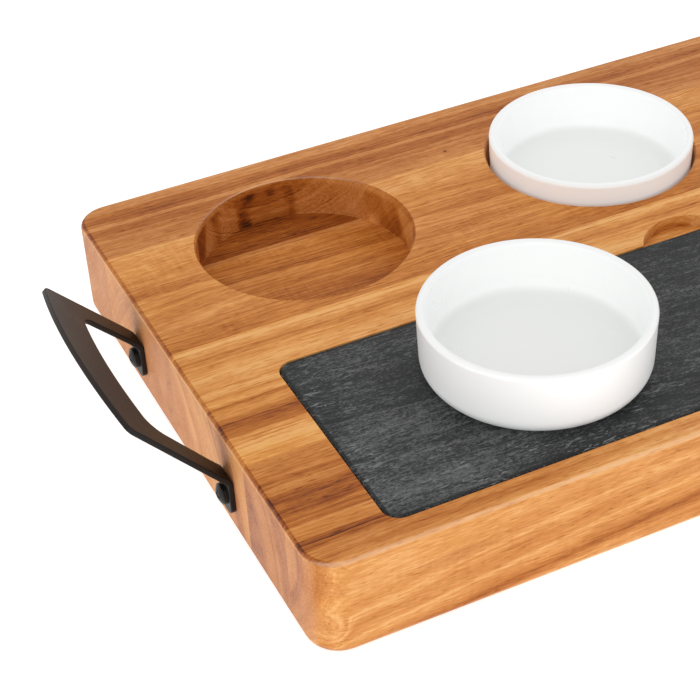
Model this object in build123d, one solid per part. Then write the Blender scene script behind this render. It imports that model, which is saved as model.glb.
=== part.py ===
from build123d import *
import os
from math import cos, radians, sin, sqrt, tan

# Chip and dip server: an edge-glued acacia board with three round pockets along its back half and a
# shallow slate-lined recess along its front half, three glazed bowls, a slate plate and two bent steel
# handles. Millimetres. Origin at the middle of the board's underside, +X along the board, +Y towards
# the pockets, +Z up.

os.makedirs("parts", exist_ok=True)

# Board
BOARD_LENGTH = 500.0
BOARD_WIDTH = 287.0
BOARD_THICKNESS = 50.0
BOARD_CORNER_RADIUS = 15.3
BOARD_TOP_EASING = 2.5
BOARD_BASE_EASING = 5.0

# Glue joints between the staves, measured back from the front edge
STAVE_NAMES = ["front_stave", "inner_front_stave", "middle_stave", "pocket_stave", "back_stave"]
GLUE_JOINTS = [28.0, 70.0, 155.0, 239.5]

# Round pockets for the bowls
POCKET_RADIUS = 52.5
POCKET_DEPTH = 21.5
POCKET_PITCH = 158.0
POCKET_CENTRE_Y = 68.9
MOUTH_BEVEL = 0.6

# Recess for the slate, with a round finger notch in the middle of its back edge
RECESS_LENGTH = 424.0
RECESS_WIDTH = 114.0
RECESS_DEPTH = 5.2
RECESS_CORNER_RADIUS = 8.0
RECESS_FRONT_MARGIN = 12.0
NOTCH_RADIUS = 25.0
NOTCH_DEPTH = 6.2
NOTCH_CENTRE_X = -1.0
NOTCH_CENTRE_FROM_RECESS_EDGE = 11.3

# Slate plate, pushed towards the back of its recess
SLATE_GAP = 0.5
SLATE_OFFSET_Y = 0.2
SLATE_THICKNESS = 5.0
SLATE_ARRIS = 1.0
SLATE_UNDER_ARRIS = 0.5

# Bowls: the left one stands on the slate, the middle one sits a little off its pocket's centre
BOWL_RIM_RADIUS = 51.0
BOWL_BASE_RADIUS = 50.3
BOWL_HEIGHT = 31.5
BOWL_WALL = 3.8
BOWL_FLOOR = 4.2
BOWL_OUTER_CURVE = 8.2
BOWL_INNER_CURVE = 9.0
BOWL_FOOT_WIDTH = 4.0
BOWL_FOOT_HEIGHT = 0.8
LOOSE_BOWL_X = -112.0
LOOSE_BOWL_Y = -71.0
MIDDLE_BOWL_OFFSET_X = 0.55
MIDDLE_BOWL_OFFSET_Y = 0.4

# Handles: flat steel strap, tabs down the end faces, arms rising outwards to a bowed grip
STRAP_THICKNESS = 2.5
STRAP_EDGE_ROUND = 0.5
ARM_WIDTH = 12.5
ARM_SLOPE = radians(47.5)
BEND_BELOW_TOP = 18.7
BEND_INNER_RADIUS = 3.0
TAB_BOTTOM_BELOW_TOP = 36.8
TAB_CORNER_RADIUS = 4.0
HANDLE_HALF_WIDTH = 60.0
ARM_TAPER = 3.7
TAPER_START = 8.0
TAPER_EASING = 40.0
GRIP_REACH = 64.3
GRIP_WIDTH = 20.0
GRIP_BOW_RADIUS = 231.0
GRIP_OUTER_CORNER = 4.5
GRIP_INNER_CORNER = 10.0

# Wood screws through the tabs
SCREW_BELOW_TOP = 27.8
SCREW_RADIUS = 2.0
SCREW_LENGTH = 25.0
SCREW_POINT = 4.0
SCREW_CLEARANCE_RADIUS = 2.25
HEAD_RADIUS = 4.8
HEAD_HEIGHT = 3.5
HEAD_DOME = 1.6
DRIVE_ARM = 2.6
DRIVE_SLOT = 1.0
DRIVE_DEPTH = 1.5

RECESS_BACK_Y = -BOARD_WIDTH / 2 + RECESS_FRONT_MARGIN + RECESS_WIDTH
RECESS_CENTRE_Y = RECESS_BACK_Y - RECESS_WIDTH / 2
NOTCH_CENTRE_Y = RECESS_BACK_Y - NOTCH_CENTRE_FROM_RECESS_EDGE
SLATE_BASE_Z = BOARD_THICKNESS - RECESS_DEPTH
SLATE_TOP_Z = SLATE_BASE_Z + SLATE_THICKNESS
POCKET_FLOOR_Z = BOARD_THICKNESS - POCKET_DEPTH
SCREW_Y = HANDLE_HALF_WIDTH - ARM_WIDTH / 2
SCREW_Z = BOARD_THICKNESS - SCREW_BELOW_TOP
BEND_Z = BOARD_THICKNESS - BEND_BELOW_TOP
TAB_BOTTOM_Z = BOARD_THICKNESS - TAB_BOTTOM_BELOW_TOP


def save(name, solid):
    """Write one named piece."""
    solid.label = name
    export_step(solid, f"parts/{name}.step")


def rounded_block(length, width, height, corner, top_round, base_round):
    """Block standing on Z = 0 with round vertical corners and eased top and base edges."""
    block = Box(length, width, height, align=(Align.CENTER, Align.CENTER, Align.MIN))
    block = fillet(block.edges().filter_by(Axis.Z), corner)
    block = fillet(block.faces().sort_by(Axis.Z)[-1].edges(), top_round)
    return fillet(block.faces().sort_by(Axis.Z)[0].edges(), base_round)


def pocket_cutter(x):
    """Bowl pocket with a lightly bevelled mouth."""
    mouth = POCKET_RADIUS + MOUTH_BEVEL
    half = Polyline((0, 0), (POCKET_RADIUS, 0), (POCKET_RADIUS, POCKET_DEPTH - MOUTH_BEVEL),
                    (mouth, POCKET_DEPTH), (mouth, POCKET_DEPTH + 1), (0, POCKET_DEPTH + 1), close=True)
    cutter = revolve(Plane.XZ * make_face(half), Axis.Z)
    return Pos(x, POCKET_CENTRE_Y, POCKET_FLOOR_Z) * cutter


def recess_cutter():
    """Slate recess and the deeper finger notch behind it."""
    slot = RectangleRounded(RECESS_LENGTH, RECESS_WIDTH, RECESS_CORNER_RADIUS)
    recess = Pos(0, RECESS_CENTRE_Y, SLATE_BASE_Z) * extrude(slot, RECESS_DEPTH + 1)
    notch_floor = BOARD_THICKNESS - NOTCH_DEPTH
    notch = extrude(Circle(NOTCH_RADIUS), NOTCH_DEPTH + 1)
    notch = notch & (Pos(0, NOTCH_CENTRE_FROM_RECESS_EDGE, 0) * Box(
        4 * NOTCH_RADIUS, 4 * NOTCH_RADIUS, 4 * NOTCH_DEPTH,
        align=(Align.CENTER, Align.MIN, Align.CENTER)))
    return recess + Pos(NOTCH_CENTRE_X, NOTCH_CENTRE_Y, notch_floor) * notch


def screw_axis(side, y):
    """Frame at a screw's seat under its head, Z pointing out of the end face."""
    seat = (side * (BOARD_LENGTH / 2 + STRAP_THICKNESS), y, SCREW_Z)
    return Plane(origin=seat, x_dir=(0, 1, 0), z_dir=(side, 0, 0))


def screw_shank():
    """Shank hanging down -Z from the underside of the head."""
    body = SCREW_LENGTH - SCREW_POINT
    shank = Cylinder(SCREW_RADIUS, body, align=(Align.CENTER, Align.CENTER, Align.MAX))
    point = Cone(0.3, SCREW_RADIUS, SCREW_POINT, align=(Align.CENTER, Align.CENTER, Align.MAX))
    return shank + Pos(0, 0, -body) * point


def screw():
    """Pan-head wood screw with a cross recess."""
    rim = HEAD_HEIGHT - HEAD_DOME
    side = Polyline((0, HEAD_HEIGHT), (0, 0), (HEAD_RADIUS, 0), (HEAD_RADIUS, rim))
    dome = TangentArc((0, HEAD_HEIGHT), (HEAD_RADIUS, rim), tangent=(1, 0))
    head = revolve(Plane.XZ * make_face([side, dome]), Axis.Z)
    cross = Rectangle(2 * DRIVE_ARM, DRIVE_SLOT) + Rectangle(DRIVE_SLOT, 2 * DRIVE_ARM)
    drive = Pos(0, 0, HEAD_HEIGHT + 0.1) * extrude(cross, -DRIVE_DEPTH - 0.1, taper=12)
    return head - drive + screw_shank()


def board():
    """The whole machined board, before it is divided at its glue joints."""
    blank = rounded_block(BOARD_LENGTH, BOARD_WIDTH, BOARD_THICKNESS,
                          BOARD_CORNER_RADIUS, BOARD_TOP_EASING, BOARD_BASE_EASING)
    for step in (-1, 0, 1):
        blank -= pocket_cutter(step * POCKET_PITCH)
    blank -= recess_cutter()
    for side in (-1, 1):
        for y in (-SCREW_Y, SCREW_Y):
            blank -= screw_axis(side, y) * screw_shank()
    return blank


def staves(whole):
    """Yield each stave's name and its solid, front to back."""
    joints = [0.0] + GLUE_JOINTS + [BOARD_WIDTH]
    for name, low, high in zip(STAVE_NAMES, joints, joints[1:]):
        slab = Box(2 * BOARD_LENGTH, high - low, 4 * BOARD_THICKNESS,
                   align=(Align.CENTER, Align.MIN, Align.CENTER))
        yield name, whole & (Pos(0, low - BOARD_WIDTH / 2, 0) * slab)


def slate_plate():
    """Slate with softened arrises, resting on the recess floor."""
    plate = rounded_block(RECESS_LENGTH - 2 * SLATE_GAP, RECESS_WIDTH - 2 * SLATE_GAP, SLATE_THICKNESS,
                          RECESS_CORNER_RADIUS - SLATE_GAP, SLATE_ARRIS, SLATE_UNDER_ARRIS)
    return Pos(0, RECESS_CENTRE_Y + SLATE_OFFSET_Y, SLATE_BASE_Z) * plate


def bowl():
    """Straight-sided bowl standing on Z = 0: foot ring, curved base corner and full-round rim."""
    foot_outer = BOWL_BASE_RADIUS - BOWL_OUTER_CURVE
    foot_inner = foot_outer - BOWL_FOOT_WIDTH
    rim_round = BOWL_WALL / 2
    rim_inner = BOWL_RIM_RADIUS - BOWL_WALL
    floor_radius = rim_inner - (BOWL_RIM_RADIUS - BOWL_BASE_RADIUS) - BOWL_INNER_CURVE
    foot = Polyline((0, BOWL_FOOT_HEIGHT), (foot_inner, BOWL_FOOT_HEIGHT), (foot_inner, 0), (foot_outer, 0))
    corner = TangentArc(foot @ 1, (BOWL_BASE_RADIUS, BOWL_OUTER_CURVE), tangent=(1, 0))
    wall = Line(corner @ 1, (BOWL_RIM_RADIUS, BOWL_HEIGHT - rim_round))
    rim = ThreePointArc(wall @ 1, (BOWL_RIM_RADIUS - rim_round, BOWL_HEIGHT),
                        (rim_inner, BOWL_HEIGHT - rim_round))
    inside = Line(rim @ 1, (floor_radius + BOWL_INNER_CURVE, BOWL_FLOOR + BOWL_INNER_CURVE))
    cove = TangentArc((floor_radius, BOWL_FLOOR), inside @ 1, tangent=(1, 0))
    floor = Polyline((floor_radius, BOWL_FLOOR), (0, BOWL_FLOOR), (0, BOWL_FOOT_HEIGHT))
    return revolve(Plane.XZ * make_face([foot, corner, wall, rim, inside, cove, floor]), Axis.Z)


def strap_side_view():
    """Handle seen along the board's edge: X is the distance out from the end face, Y is height."""
    run = GRIP_REACH + 10
    end = (run * cos(ARM_SLOPE), BEND_Z + run * sin(ARM_SLOPE))
    drop = STRAP_THICKNESS * tan(ARM_SLOPE) - STRAP_THICKNESS / cos(ARM_SLOPE)
    under_end = (end[0] + STRAP_THICKNESS * sin(ARM_SLOPE), end[1] - STRAP_THICKNESS * cos(ARM_SLOPE))
    outline = Polyline((0, TAB_BOTTOM_Z), (0, BEND_Z), end, under_end,
                       (STRAP_THICKNESS, BEND_Z + drop), (STRAP_THICKNESS, TAB_BOTTOM_Z), close=True)
    side = make_face(outline)
    face_corner = side.vertices().sort_by_distance((0, BEND_Z))[0]
    side = fillet(face_corner, BEND_INNER_RADIUS + STRAP_THICKNESS)
    inner_corner = side.vertices().sort_by_distance((STRAP_THICKNESS, BEND_Z + drop))[0]
    return fillet(inner_corner, BEND_INNER_RADIUS)


def bowed_outline(half_width, reach, bow_radius, corner):
    """Flat outline of the strap or its finger gap: X runs up the arm from the bend, Y along the end."""
    narrow = half_width - ARM_TAPER
    shoulder = reach - bow_radius + sqrt(bow_radius ** 2 - narrow ** 2)
    below = -2 * TAB_BOTTOM_BELOW_TOP
    sides = Polyline((shoulder, narrow), (TAPER_START, half_width), (below, half_width),
                     (below, -half_width), (TAPER_START, -half_width), (shoulder, -narrow))
    bow = ThreePointArc((shoulder, -narrow), (reach, 0), (shoulder, narrow))
    flat = make_face([sides, bow])
    for x, half, radius in ((shoulder, narrow, corner), (TAPER_START, half_width, TAPER_EASING)):
        tips = [flat.vertices().sort_by_distance((x, y))[0] for y in (half, -half)]
        flat = fillet(tips, radius)
    return flat


def sharp_edges(solid):
    """Edges where two faces meet at an angle, leaving out seams where they run smoothly together."""
    sharp = []
    for edge in solid.edges():
        sides = [face for face in solid.faces() if any(edge.is_same(other) for other in face.edges())]
        first, second = [face.normal_at(edge @ 0.5) for face in sides]
        if first.get_angle(second) > 20:
            sharp.append(edge)
    return sharp


def handle():
    """Left handle, built with X as the distance out from the end face."""
    side = Plane.XZ * strap_side_view()
    strap = extrude(side, HANDLE_HALF_WIDTH + 5, both=True)
    arm_plane = Plane(origin=(0, 0, BEND_Z), x_dir=(cos(ARM_SLOPE), 0, sin(ARM_SLOPE)),
                      z_dir=(-sin(ARM_SLOPE), 0, cos(ARM_SLOPE)))
    outer = bowed_outline(HANDLE_HALF_WIDTH, GRIP_REACH, GRIP_BOW_RADIUS, GRIP_OUTER_CORNER)
    gap = bowed_outline(HANDLE_HALF_WIDTH - ARM_WIDTH, GRIP_REACH - GRIP_WIDTH,
                        GRIP_BOW_RADIUS - GRIP_WIDTH, GRIP_INNER_CORNER)
    strap = strap & extrude(arm_plane * outer, 60, both=True)
    strap = strap - extrude(arm_plane * gap, 60, both=True)
    tab_corners = strap.edges().filter_by(Axis.X).group_by(Axis.Z)[0]
    strap = fillet(tab_corners, TAB_CORNER_RADIUS)
    strap = fillet(sharp_edges(strap), STRAP_EDGE_ROUND)
    for y in (-SCREW_Y, SCREW_Y):
        hole = Cylinder(SCREW_CLEARANCE_RADIUS, 6 * STRAP_THICKNESS, rotation=(0, 90, 0))
        strap -= Pos(0, y, SCREW_Z) * hole
    return strap


def main():
    for name, stave in staves(board()):
        save(name, stave)
    save("slate_plate", slate_plate())
    save("bowl_left", Pos(LOOSE_BOWL_X, LOOSE_BOWL_Y, SLATE_TOP_Z) * bowl())
    middle = Pos(MIDDLE_BOWL_OFFSET_X, POCKET_CENTRE_Y + MIDDLE_BOWL_OFFSET_Y, POCKET_FLOOR_Z)
    save("bowl_middle", middle * bowl())
    save("bowl_right", Pos(POCKET_PITCH, POCKET_CENTRE_Y, POCKET_FLOOR_Z) * bowl())
    outward = Pos(BOARD_LENGTH / 2, 0, 0) * handle()
    save("handle_right", outward)
    save("handle_left", mirror(outward, Plane.YZ))
    for side_name, side in (("left", -1), ("right", 1)):
        for end_name, y in (("front", -SCREW_Y), ("rear", SCREW_Y)):
            save(f"handle_{side_name}_screw_{end_name}", screw_axis(side, y) * screw())


main()
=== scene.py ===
import bpy
from mathutils import Matrix, Vector


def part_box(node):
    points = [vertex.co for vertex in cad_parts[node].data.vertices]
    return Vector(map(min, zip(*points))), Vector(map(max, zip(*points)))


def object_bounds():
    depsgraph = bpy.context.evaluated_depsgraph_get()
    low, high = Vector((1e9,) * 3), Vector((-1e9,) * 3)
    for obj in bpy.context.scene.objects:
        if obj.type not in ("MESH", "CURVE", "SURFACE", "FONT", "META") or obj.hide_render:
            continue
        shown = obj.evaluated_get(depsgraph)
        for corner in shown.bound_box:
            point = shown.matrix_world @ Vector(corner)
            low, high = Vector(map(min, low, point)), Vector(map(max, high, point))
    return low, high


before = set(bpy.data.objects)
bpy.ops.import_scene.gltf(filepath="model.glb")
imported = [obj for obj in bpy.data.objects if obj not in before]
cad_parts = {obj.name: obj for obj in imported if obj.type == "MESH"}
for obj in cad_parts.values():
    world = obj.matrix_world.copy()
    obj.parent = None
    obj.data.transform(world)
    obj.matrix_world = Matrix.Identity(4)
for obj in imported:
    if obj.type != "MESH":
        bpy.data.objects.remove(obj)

# Looks for the chip and dip server. Metres, in the CAD frame: origin at the middle of the board's
# underside, +X along the board, +Y from the slate towards the pockets, +Z up. Materials work in
# millimetres: each scales object coordinates by a thousand first. Every CAD node keeps its mesh and
# gets a procedural material.

CAD_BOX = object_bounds()
MM = 1000.0

BOARD_LOW, BOARD_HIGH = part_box("front_stave")[0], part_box("back_stave")[1]
FRONT_Y = BOARD_LOW.y * MM
LEFT_X = BOARD_LOW.x * MM
TOP_Z = BOARD_HIGH.z * MM

WORLD_GLOW = .8
SKY_GLOW = 1.1
FLOOR_GLOW = .72
FLOOR_HALF_SIZE = 20.0
FLOOR_CLEARANCE = .0003

# Acacia from darkest latewood to palest sapwood, in two hues
GOLDEN_WOOD = [
    (0.00, (0.095, 0.020, 0.004)),
    (0.22, (0.290, 0.068, 0.009)),
    (0.45, (0.460, 0.138, 0.018)),
    (0.65, (0.600, 0.215, 0.036)),
    (0.85, (0.740, 0.310, 0.066)),
    (1.00, (0.850, 0.430, 0.130)),
]
RUSSET_WOOD = [
    (0.00, (0.080, 0.019, 0.006)),
    (0.22, (0.280, 0.066, 0.009)),
    (0.45, (0.445, 0.138, 0.022)),
    (0.65, (0.570, 0.220, 0.060)),
    (0.85, (0.710, 0.320, 0.110)),
    (1.00, (0.820, 0.440, 0.190)),
]


class Shading:
    """One material's node tree under construction."""

    def __init__(self, name):
        self.material = bpy.data.materials.new(name)
        self.material.use_nodes = True
        self.tree = self.material.node_tree
        self.tree.nodes.clear()
        coordinates = self.add("ShaderNodeTexCoord")
        self.normal = coordinates.outputs["Normal"]
        self.place = self.scaled(coordinates.outputs["Object"], (MM, MM, MM))
        self.x, self.y, self.z = self.axes(self.place)

    def add(self, kind, inputs=None, **settings):
        node = self.tree.nodes.new(kind)
        for key, value in settings.items():
            setattr(node, key, value)
        for key, value in (inputs or {}).items():
            self.set(node.inputs[key], value)
        return node

    def set(self, socket, value):
        if isinstance(value, bpy.types.NodeSocket):
            self.tree.links.new(value, socket)
        else:
            socket.default_value = value

    def math(self, operation, a, b=0.0):
        return self.add("ShaderNodeMath", {0: a, 1: b}, operation=operation).outputs[0]

    def total(self, *values):
        result = values[0]
        for value in values[1:]:
            result = self.math("ADD", result, value)
        return result

    def times(self, a, b):
        return self.math("MULTIPLY", a, b)

    def minus(self, a, b):
        return self.math("SUBTRACT", a, b)

    def scaled(self, vector, factors):
        return self.add("ShaderNodeVectorMath", {0: vector, 1: factors}, operation="MULTIPLY").outputs[0]

    def axes(self, vector):
        return self.add("ShaderNodeSeparateXYZ", {0: vector}).outputs

    def noise(self, size, detail=2.0, roughness=0.5, distortion=0.0, shift=(0.0, 0.0, 0.0)):
        """Noise from 0 to 1 whose features are about size millimetres along each axis."""
        stretched = self.scaled(self.place, tuple(1.0 / s for s in size))
        moved = self.add("ShaderNodeVectorMath", {0: stretched, 1: shift}, operation="ADD").outputs[0]
        return self.add("ShaderNodeTexNoise", {
            "Vector": moved, "Scale": 1.0, "Detail": detail, "Roughness": roughness, "Distortion": distortion,
        }).outputs[0]

    def line_noise(self, value, size, detail=2.0):
        """Noise from 0 to 1 along one value in millimetres."""
        return self.add("ShaderNodeTexNoise", {
            "W": self.times(value, 1.0 / size), "Scale": 1.0, "Detail": detail,
        }, noise_dimensions="1D").outputs[0]

    def swing(self, value, reach):
        """A 0 to 1 value turned to one from -reach to +reach."""
        return self.times(self.minus(value, 0.5), 2.0 * reach)

    def between(self, value, low, high, smooth=True):
        """0 at low and 1 at high."""
        return self.add("ShaderNodeMapRange", {0: value, 1: low, 2: high},
                        interpolation_type="SMOOTHSTEP" if smooth else "LINEAR").outputs[0]

    def towards(self, a, b, share):
        """a moved towards b by a share from 0 to 1."""
        return self.total(a, self.times(self.minus(b, a), share))

    def ramp(self, value, stops):
        """Colour at value, from stops of (position, red-green-blue or grey)."""
        node = self.add("ShaderNodeValToRGB", {0: value})
        elements = node.color_ramp.elements
        for _ in range(len(stops) - 2):
            elements.new(0.5)
        for element, (position, shade) in zip(elements, stops):
            element.position = position
            element.color = (*shade, 1.0) if isinstance(shade, tuple) else (shade, shade, shade, 1.0)
        return node.outputs[0]

    def mix(self, factor, a, b):
        node = self.add("ShaderNodeMix", {0: factor}, data_type="RGBA")
        self.set(node.inputs["A"], a)
        self.set(node.inputs["B"], b)
        return node.outputs["Result"]

    def bump(self, height, distance, strength=1.0, under=None):
        """height from 0 to 1 as a relief of distance millimetres."""
        inputs = {"Height": height, "Distance": distance / MM, "Strength": strength}
        if under is not None:
            inputs["Normal"] = under
        return self.add("ShaderNodeBump", inputs).outputs[0]

    def finish(self, **inputs):
        named = {key.replace("_", " ").title().replace("Ior", "IOR"): value for key, value in inputs.items()}
        shader = self.add("ShaderNodeBsdfPrincipled", named)
        output = self.add("ShaderNodeOutputMaterial")
        self.tree.links.new(shader.outputs[0], output.inputs[0])
        return self.material


def colour(r, g, b):
    return (r, g, b, 1.0)


# Each stave: bands as (millimetres back from the board's front edge, tone from 0 dark to 1 pale) where
# the growth rings meet the top; the pith the rings curve round, as (millimetres back, height); how
# steeply it climbs along the board; how far the grain wanders, in millimetres; how russet it is; how
# strong its cross ripple is; its random shift; how much darker its routed surfaces are; how much paler
# its top gets to the right; its knots as (centre, radius, swell of the rings round it, darkness).
STAVES = {
    "front_stave": {
        "bands": [(-40, .62), (-25, .78), (-18.5, .7), (-16.2, .38), (-14, .68), (-10, .86), (-7, .58),
                  (-4, .87), (-2.2, .68), (-.8, .9), (1.5, .7), (4, .62), (7, .48), (9.5, .58), (12, .64),
                  (14.5, .34), (18.2, .24), (19.6, .56), (23, .62), (26, .72), (27, .8), (28, .6)],
        "pith": (60, 44), "climb": .12, "wander": 1.2, "russet": .5, "ripple": .03, "seed": 3.1,
        "paler_right": .22, "knots": [((-245, -143.5, 14), 4.0, 9.0, .25)],
    },
    "inner_front_stave": {
        "bands": [(24, .4), (28, .42), (31, .54), (33.5, .4), (36.5, .24), (40, .3), (43.5, .2), (46, .3),
                  (49, .56), (51.5, .55), (54.5, .4), (58, .54), (63, .58), (69, .55), (72, .5), (76, .3)],
        "pith": (91, 15), "climb": .04, "wander": 1.5, "russet": .45, "ripple": .03, "seed": 8.6,
    },
    "middle_stave": {
        "bands": [(40, .5), (55, .8), (70, .84), (73.5, .78), (79, .92), (85, .87), (89.5, .72), (92.5, .46),
                  (98.6, .22), (100.5, .5), (106, .72), (110, .46), (113.5, .9), (116, .73), (119, .88),
                  (127, .84), (133, .92), (138, .76), (140.5, .84), (144.6, .54), (148, .8), (152, .98),
                  (155, .86), (165, .6)],
        "pith": (200, -10), "climb": .05, "wander": 1.0, "russet": .25, "ripple": .02, "seed": 13.9,
    },
    "pocket_stave": {
        "bands": [(130, .5), (150, .5), (158, .52), (166, .55), (174, .62), (178.5, .7), (181, .58),
                  (187, .66), (196.5, .76), (198.2, .42), (200, .56), (205, .6), (212, .72), (214.5, .6),
                  (220, .76), (230, .8), (238, .86), (250, .6)],
        "pith": (120, -60), "climb": .1, "wander": 4.5, "russet": .3, "ripple": .05, "seed": 21.4,
        "routed_tone_and_shade": -.1,
    },
    "back_stave": {
        "bands": [(220, .5), (239.5, .66), (244, .6), (250, .5), (254.5, .56), (259, .44), (264.5, .38),
                  (266.5, .7), (269, .54), (272.3, .3), (276, .43), (280, .65), (284, .66), (287, .7),
                  (300, .5)],
        "pith": (330, 100), "climb": -.05, "wander": 2.4, "russet": .9, "ripple": .03, "seed": 34.2,
        "routed_tone_and_shade": -.36,
        "knots": [((-64, 104, 50), 1.3, 5.0, .5)],
    },
}


def wood(name, bands, pith, climb, wander, russet, ripple, seed, routed_tone_and_shade=0.0, paler_right=0.0, knots=()):
    s = Shading("Acacia_" + name)
    shift = (seed, 2.7 * seed, 1.3 * seed)
    across = s.minus(s.y, FRONT_Y)
    along = s.minus(s.x, LEFT_X)
    below = s.minus(s.z, TOP_Z)

    # where the growth ring through this point meets the top of the board
    pith_z = s.math("MULTIPLY_ADD", along, climb)
    pith_z.node.inputs[2].default_value = pith[1]
    off_pith = s.minus(across, pith[0])
    fall = s.times(below, s.minus(s.math("ADD", s.z, TOP_Z), s.times(pith_z, 2.0)))
    reach = s.math("SQRT", s.math("MAXIMUM", s.total(s.times(off_pith, off_pith), fall), 0.0))
    side = 1.0 if pith[0] > bands[len(bands) // 2][0] else -1.0
    ring = s.minus(pith[0], s.times(reach, side))
    drift = s.swing(s.noise((260, 50, 60), 1.0, shift=shift), 2.0 * wander)
    sway = s.swing(s.noise((70, 16, 20), 2.0, shift=shift), wander)
    quiver = s.swing(s.noise((24, 2.5, 2.5), 2.0, shift=shift), .5)
    ring = s.total(ring, drift, sway, quiver)
    knot_dark = 0.0
    for centre, radius, swell, dark in knots:
        away = s.add("ShaderNodeVectorMath", {0: s.place, 1: centre}, operation="DISTANCE").outputs["Value"]
        ring = s.total(ring, s.times(s.between(away, 3.0 * radius, 0.0), swell))
        knot_dark = s.total(s.times(s.between(away, radius, .3 * radius), -dark), knot_dark)

    low, high = bands[0][0], bands[-1][0]
    stops = [((at - low) / (high - low), tone) for at, tone in bands]
    place = s.between(ring, low, high, smooth=False)
    base = s.ramp(place, stops)

    # grain: growth lines, fibres, dark dashes of open pores, cloudy figure
    fade = s.between(s.noise((60, 9, 9), 1.0, shift=shift), .38, .66)
    lines = s.swing(s.line_noise(ring, 2.1), .2)
    vein = s.times(s.between(s.line_noise(ring, 1.25, 1.0), .60, .78), fade)
    fibre = s.noise((13, 1.0, 1.0), 3.0, .62, shift=shift)
    fine = s.noise((6, .7, .7), 2.0, .65, shift=shift)
    pore = s.between(s.noise((6, .75, .75), 1.0, shift=shift), .60, .70)
    cloud = s.swing(s.noise((38, 13, 13), 3.0, shift=shift), .2)
    cross = s.times(s.swing(s.noise((2.1, 12, 12), 1.0, shift=shift), 2.0 * ripple),
                    s.between(s.noise((50, 20, 20), 1.0, shift=shift), .42, .62))
    tone = s.total(base, lines, s.times(vein, -.26), s.swing(fibre, .27), s.swing(fine, .2),
                   s.times(pore, -.17), cloud, cross, knot_dark, .035)

    # end grain is flatter in tone, eased end edges are darker, eased edges get painted highlights, routed
    # faces are darker, partly in tone and partly painted shade
    n = s.axes(s.normal)
    nx, ny, nz = [s.math("ABSOLUTE", value) for value in n]
    end_grain = s.between(nx, .35, 1.0)
    eased = s.between(s.math("MAXIMUM", s.math("MAXIMUM", nx, ny), nz), .995, .9)
    eased_end = s.times(s.times(s.between(nx, .12, .3), s.between(nx, .86, .7)), s.between(nz, .2, .4))
    # a painted highlight line along the outer side of the eased end edges
    painted_highlight_line = s.times(s.between(nx, .84, .92), s.between(nx, .995, .97))
    # the eased front edges get a painted highlight: a lighter tone here and a pale pink band below
    eased_side = s.times(eased, s.between(ny, .25, .6))
    inside_ends = s.between(s.math("ABSOLUTE", s.x), 247.0, 245.0)
    # routed pocket faces are darker, partly in their own tone and partly painted shade
    routed = s.times(s.times(s.between(below, -2.0, -5.0), s.between(s.z, 22.0, 24.0)),
                     s.times(s.between(across, 283.0, 281.0), inside_ends))
    routed = s.times(routed, s.between(across, 126.0, 128.0))
    # the pocket walls get a darker, patchy tone: partly their end grain, partly painted shade
    wall = s.times(routed, s.between(nz, .7, .3))
    patches = s.between(s.noise((17, 17, 45), 1.0, shift=shift), .42, .56)
    seam = s.times(s.times(routed, nz), s.between(s.math("ABSOLUTE", s.minus(across, 241.0)), 2.0, 1.2))
    tone = s.towards(tone, .56, s.times(end_grain, .3))
    tone = s.total(tone, s.times(eased_end, -.28), s.times(s.times(painted_highlight_line, nz), .9),
                   s.times(eased_side, .08), s.times(routed, routed_tone_and_shade),
                   s.times(wall, s.minus(s.times(patches, .46), .2)),
                   s.times(seam, .42), s.times(s.times(nz, s.between(along, 60.0, 180.0)), paler_right))
    hue = s.total(russet, s.swing(s.noise((120, 14, 14), 2.0, shift=shift), .45), s.times(wall, .2))
    wood_colour = s.mix(s.between(hue, 0.0, 1.0, smooth=False),
                        s.ramp(tone, GOLDEN_WOOD), s.ramp(tone, RUSSET_WOOD))
    outer_end = s.between(s.math("ABSOLUTE", s.x), 247.0, 249.0)
    # painted sheen: the outer end faces are mixed towards a pale pink that stands in for their grazing
    # reflection
    painted_end_sheen = s.times(s.times(outer_end, end_grain), s.total(.23, s.swing(fibre, .25), s.times(cloud, .5)))
    wood_colour = s.mix(painted_end_sheen, wood_colour, colour(.74, .44, .30))
    # painted highlight: a pale pink band along the eased front top edge
    painted_highlight_side = s.times(s.times(eased_side, s.between(nz, .2, .5)), s.total(.3, s.times(cloud, .8)))
    wood_colour = s.mix(painted_highlight_side, wood_colour, colour(.86, .58, .40))

    roughness = s.total(.44, s.swing(fibre, .12), s.times(pore, .12), s.times(end_grain, .08),
                        s.times(eased, -.08))
    grain = s.bump(fibre, .06)
    relief = s.bump(s.minus(1.0, pore), .05, under=grain)
    return s.finish(base_color=wood_colour, roughness=roughness, normal=relief, ior=1.47,
                    specular_ior_level=.18, coat_weight=.02, coat_roughness=.2)


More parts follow.
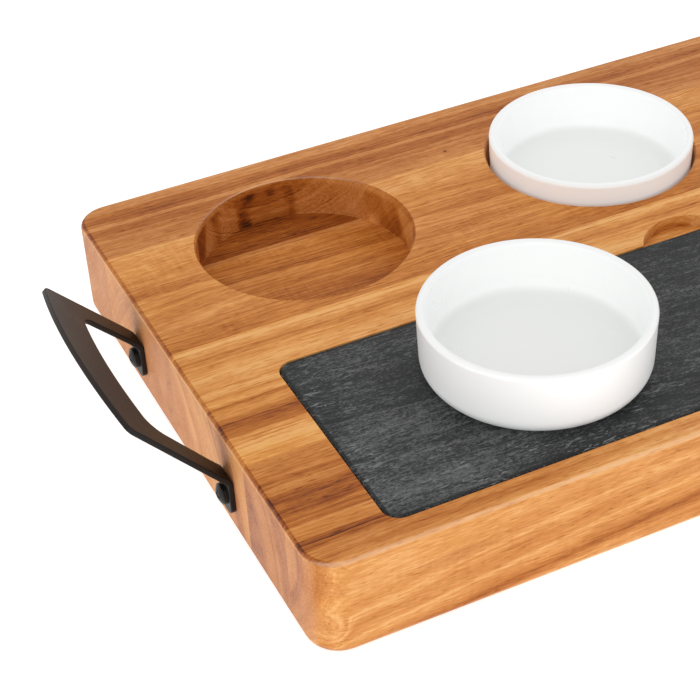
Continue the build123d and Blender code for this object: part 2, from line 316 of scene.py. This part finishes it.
def slate():
    s = Shading("Slate")
    low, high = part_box("slate_plate")
    middle, half = (low + high) * MM / 2, (high - low) * MM / 2
    drift = s.swing(s.noise((30, 8, 8), 2.0), 3.0)
    slanted = s.total(s.y, s.times(s.x, .12), drift)
    cleft = s.line_noise(slanted, 3.2, 3.0)
    streak = s.noise((6, 1.0, 1.0), 4.0, .7, distortion=1.0)
    speck = s.noise((1.3, .9, 1.3), 2.0, .6)
    cloud = s.noise((60, 35, 35), 3.0, .55)
    tone = s.total(s.times(cleft, .12), s.times(streak, .45), s.times(speck, .28), s.times(cloud, .3))
    base = s.ramp(tone, [(.43, (.007, .008, .008)), (.57, (.028, .029, .029)), (.69, (.13, .132, .132))])
    flake = s.noise((6.0, 1.7, 1.7), 3.0, .65, distortion=1.4, shift=(4.0, 9.0, 1.0))
    rubbed = s.math("MAXIMUM", s.between(s.y, -85.0, -135.0), s.between(s.x, -170.0, -214.0))
    cluster = s.between(s.noise((16, 9, 9), 2.0, shift=(2.0, 5.0, 8.0)), .46, .6)
    scratch = s.times(s.times(s.between(flake, .54, .64), cluster), s.total(.35, s.times(rubbed, .65)))
    n = s.axes(s.normal)
    arris = s.between(s.math("ABSOLUTE", n[2]), .985, .75)
    off_x = s.minus(s.math("ABSOLUTE", s.minus(s.x, middle.x)), half.x)
    off_y = s.minus(s.math("ABSOLUTE", s.minus(s.y, middle.y)), half.y)
    # the slate's edges are near black: partly its own dark sides, partly a painted shadow of the gap round it
    dark_edge_and_gap_shadow = s.math("MAXIMUM", arris, s.between(s.math("MAXIMUM", off_x, off_y), -2.2, -1.5))
    base = s.mix(s.times(dark_edge_and_gap_shadow, .85), base, colour(.008, .0085, .009))
    chips = s.times(s.times(arris, s.between(speck, .5, .7)), s.times(rubbed, .5))
    pale = s.math("MAXIMUM", s.times(scratch, .8), chips)
    base = s.mix(pale, base, colour(.24, .25, .25))
    roughness = s.total(.55, s.swing(streak, .14), s.times(pale, .15))
    ridges = s.bump(s.total(s.times(cleft, .5), s.times(streak, .5)), .45, .9)
    pits = s.bump(speck, .1, .8, under=ridges)
    return s.finish(base_color=base, roughness=roughness, normal=pits, ior=1.5, specular_ior_level=.25)


def glaze(bowl, painted_glow):
    s = Shading("White_glaze_" + bowl)
    breath = s.noise((26, 26, 26), 2.0)
    speck = s.between(s.noise((1.5, 1.5, 1.5), 1.0), .83, .86)
    n = s.axes(s.normal)
    height = s.minus(s.z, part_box(bowl)[0].z * MM)
    # painted light: upright walls of the glaze are paler than up-facing glaze
    upright_painted_light = s.between(s.math("ABSOLUTE", n[2]), .8, .3)
    body = s.mix(breath, colour(.852, .85, .838), colour(.866, .864, .854))
    body = s.mix(upright_painted_light, body, colour(.935, .938, .93))
    # painted shade: the up-facing glaze low in the bowl, its inside floor, is darker
    body = s.mix(s.times(s.between(height, 13.0, 6.0), s.between(n[2], .2, .8)), body, colour(.77, .765, .75))
    body = s.mix(s.times(speck, .6), body, colour(.42, .38, .33))
    peel = s.noise((3.2, 3.2, 3.2), 2.0)
    roughness = s.total(.3, s.swing(breath, .06), s.swing(peel, .03))
    # the glaze gives off a faint painted glow
    return s.finish(base_color=body, roughness=roughness, normal=s.bump(peel, .004), ior=1.5,
                    specular_ior_level=.35, coat_weight=.1, coat_roughness=.1,
                    emission_color=colour(.9, 1.0, 1.02), emission_strength=painted_glow)


def powder_coat(name, base, rough):
    s = Shading(name)
    peel = s.noise((.9, .9, .9), 3.0, .55)
    cloud = s.noise((20, 20, 20), 2.0)
    # brown painted reflection of the wood on the grip's upper face, near black on the edges, arms, tabs and
    # screws
    nz = s.axes(s.normal)[2]
    painted_wood_reflection = s.times(s.between(nz, .5, .85), s.between(s.math("ABSOLUTE", s.x), 256.0, 280.0))
    darker, paler = [colour(*(c * factor for c in base)) for factor in (.75, 1.3)]
    shade = s.mix(s.between(cloud, .3, .7), darker, paler)
    shade = s.mix(s.total(.15, s.times(painted_wood_reflection, .85)), colour(.006, .0055, .005), shade)
    roughness = s.total(rough, s.swing(peel, .1), s.swing(cloud, .06))
    return s.finish(base_color=shade, roughness=roughness, normal=s.bump(peel, .035), ior=1.5,
                    specular_ior_level=.24)


def dress(node, material):
    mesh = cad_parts[node].data
    mesh.materials.clear()
    mesh.materials.append(material)


for stave, look in STAVES.items():
    dress(stave, wood(stave, **look))
dress("slate_plate", slate())
# painted glow for each bowl, stronger for the middle and right bowls
for bowl, painted_glow in (("bowl_left", .085), ("bowl_middle", .11), ("bowl_right", .11)):
    dress(bowl, glaze(bowl, painted_glow))
coat = powder_coat("Black_powder_coat", (.017, .008, .004), .42)
screw_finish = powder_coat("Black_screw", (.015, .013, .012), .34)
for side in ("left", "right"):
    dress("handle_" + side, coat)
    for end in ("front", "rear"):
        dress(f"handle_{side}_screw_{end}", screw_finish)


def floor():
    s = Shading("Studio_floor")
    grain = s.noise((90, 90, 90), 3.0)
    paper = s.mix(grain, colour(.54, .54, .54), colour(.56, .56, .56))
    material = s.finish(base_color=paper, roughness=.9, specular_ior_level=.1,
                        emission_color=colour(1, 1, 1), emission_strength=FLOOR_GLOW)
    mesh = bpy.data.meshes.new("studio_floor")
    half, level = FLOOR_HALF_SIZE, CAD_BOX[0].z - FLOOR_CLEARANCE
    mesh.from_pydata([(-half, -half, level), (half, -half, level), (half, half, level), (-half, half, level)],
                     [], [(0, 1, 2, 3)])
    mesh.materials.append(material)
    plane = bpy.data.objects.new("studio_floor", mesh)
    bpy.context.scene.collection.objects.link(plane)


def soft_box(name, place, aim, size, power):
    light = bpy.data.lights.new(name, "AREA")
    light.shape = "RECTANGLE"
    light.size, light.size_y = size
    light.energy = power
    lamp = bpy.data.objects.new(name, light)
    bpy.context.scene.collection.objects.link(lamp)
    lamp.location = place
    lamp.rotation_euler = (Vector(aim) - Vector(place)).to_track_quat("-Z", "Y").to_euler()


def studio():
    floor()
    soft_box("key", (-1.1, -1.35, 1.05), (0, 0, 0), (1.4, 1.4), 8)
    soft_box("fill", (1.2, .9, 1.6), (0, 0, 0), (1.8, 1.8), 4)
    world = bpy.data.worlds.new("studio")
    bpy.context.scene.world = world
    world.use_nodes = True
    background = world.node_tree.nodes["Background"]
    background.inputs[0].default_value = colour(1, 1, 1)
    nodes, links = world.node_tree.nodes, world.node_tree.links
    brightness = nodes.new("ShaderNodeMapRange")
    brightness.inputs["To Min"].default_value = WORLD_GLOW
    brightness.inputs["To Max"].default_value = SKY_GLOW
    links.new(nodes.new("ShaderNodeLightPath").outputs["Is Camera Ray"], brightness.inputs["Value"])
    links.new(brightness.outputs[0], background.inputs[1])
    bpy.context.scene.view_settings.view_transform = "Standard"


def camera():
    right = Vector((.90212154, -.42875061, -.04847301))
    up = Vector((.29430659, .52927479, .79577121))
    forward = Vector((.31553185, .73214828, -.60365432))
    lens = bpy.data.cameras.new("camera")
    lens.lens = 94.58
    lens.sensor_width = 36.0
    eye = bpy.data.objects.new("camera", lens)
    bpy.context.scene.collection.objects.link(eye)
    turned = Matrix((right, up, -forward)).transposed().to_4x4()
    eye.matrix_world = Matrix.Translation((-.43178, -.61251, .53567)) @ turned
    bpy.context.scene.camera = eye


studio()
camera()
